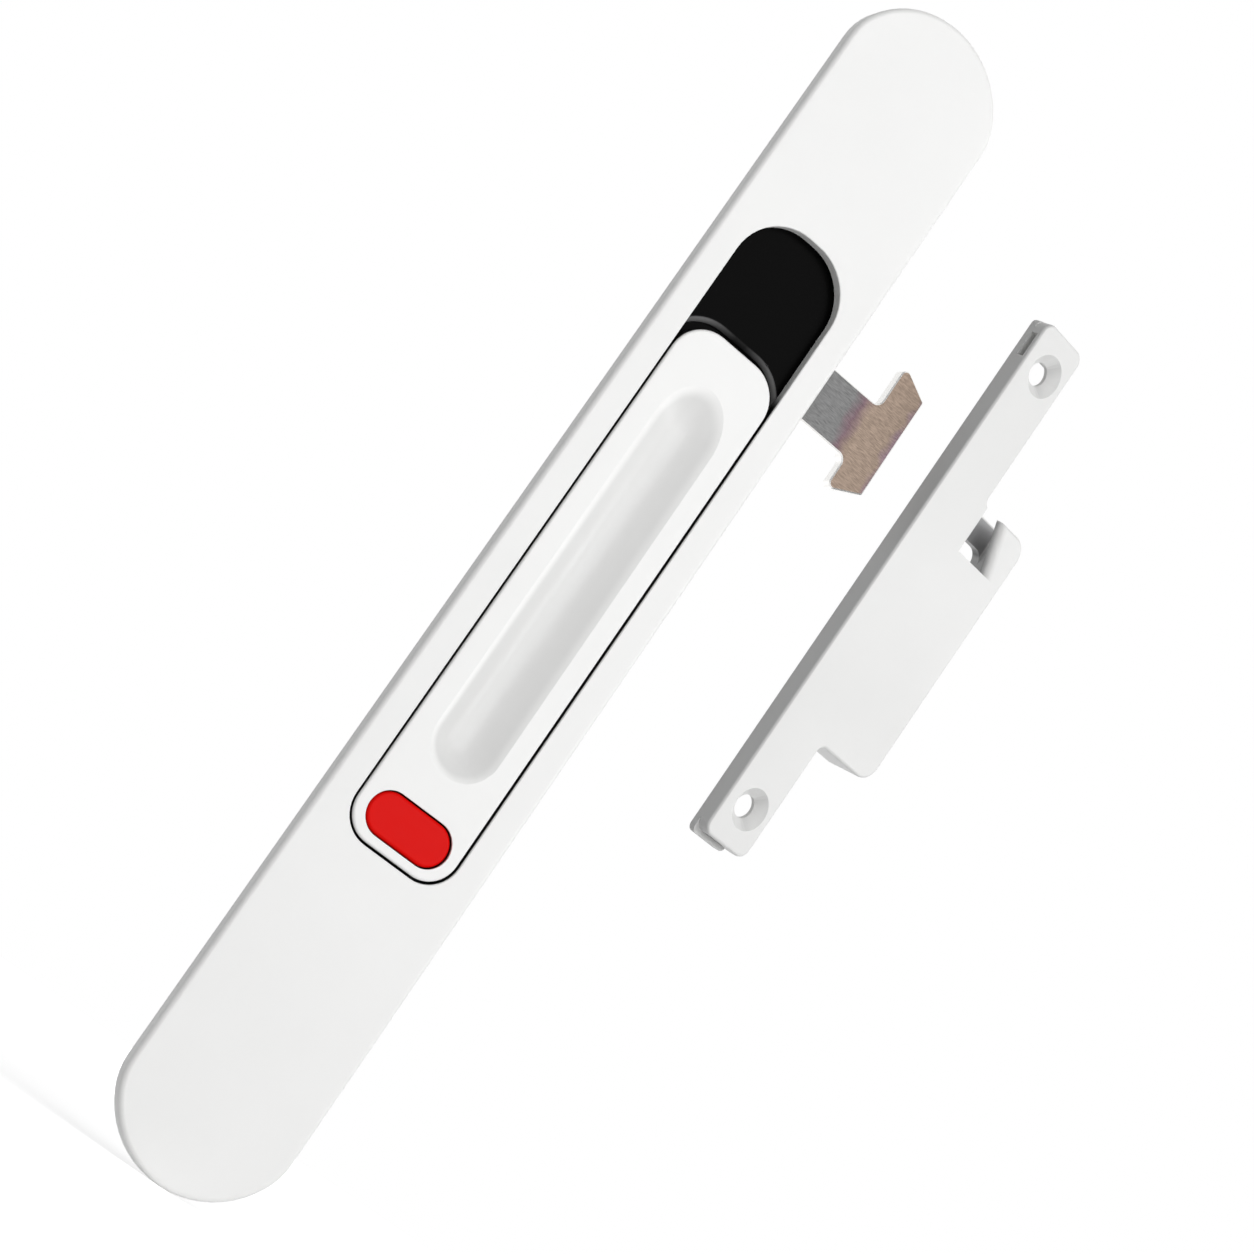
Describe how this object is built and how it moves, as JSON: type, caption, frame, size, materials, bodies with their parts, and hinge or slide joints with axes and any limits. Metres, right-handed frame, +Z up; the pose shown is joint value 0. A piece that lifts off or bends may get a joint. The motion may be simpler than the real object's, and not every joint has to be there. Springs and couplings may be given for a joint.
{
  "type": "concealed sash lock",
  "caption": "Flush-fitting concealed sliding lock: round-ended plate, finger slide with release button, T-headed hook, and its separate countersunk keeper.",
  "frame": {"origin": "centre of the plate's length and width, in the plane of the rim that seats on the sash", "axes": "+X across the plate towards the hook, +Y into the sash, +Z up along the plate"},
  "size_m": [0.0714, 0.0192, 0.197],
  "materials": {
    "plate_paint": "satin white powder coat",
    "slider_paint": "satin white powder coat",
    "keeper_paint": "satin white powder coat",
    "packer_plastic": "moulded, matt",
    "button_plastic": "moulded, semi-gloss red",
    "shield_plastic": "moulded, satin black",
    "hook_steel": "brushed across its length",
    "frame_casting": "raw casting",
    "plated_steel": "zinc plated",
    "spring_steel": "bright",
    "glide_plastic": "natural nylon",
    "bumper_rubber": "matt",
    "bushing_brass": "turned"
  },
  "bodies": {
    "lock": {"face_plate": "plate_paint", "chassis": "frame_casting", "plate_screws": "plated_steel", "back_cover": "plated_steel", "cover_screws": "plated_steel", "mount_bushings": "bushing_brass", "lower_bumper": "bumper_rubber", "upper_bumper": "bumper_rubber", "catch_spring": "spring_steel", "catch_rivet": "plated_steel", "keeper": "keeper_paint", "keeper_packer": "packer_plastic"},
    "slide": {"slider": "slider_paint", "carriage": "plated_steel", "slider_screws": "plated_steel", "upper_shield": "shield_plastic", "lower_shield": "shield_plastic", "hook": "hook_steel", "hook_screws": "plated_steel", "hook_washers": "plated_steel", "drag_spring": "spring_steel", "glide_upper_left": "glide_plastic", "glide_upper_right": "glide_plastic", "glide_lower_left": "glide_plastic", "glide_lower_right": "glide_plastic", "button_spring": "spring_steel"},
    "release": {"button": "button_plastic", "button_clip": "spring_steel"}
  },
  "joints": [
    {"name": "slider_slide", "type": "slide", "parent": "lock", "child": "slide", "axis": [0, 0, 1], "range_m": [0, 0.017], "deforming": ["catch_spring"]},
    {"name": "button_press", "type": "slide", "parent": "slide", "child": "release", "axis": [0, 1, 0], "range_m": [0, 0.0015], "stiffness_N_per_m": 400, "springref_m": -0.002, "deforming": ["button_spring", "catch_spring"]}
  ]
}
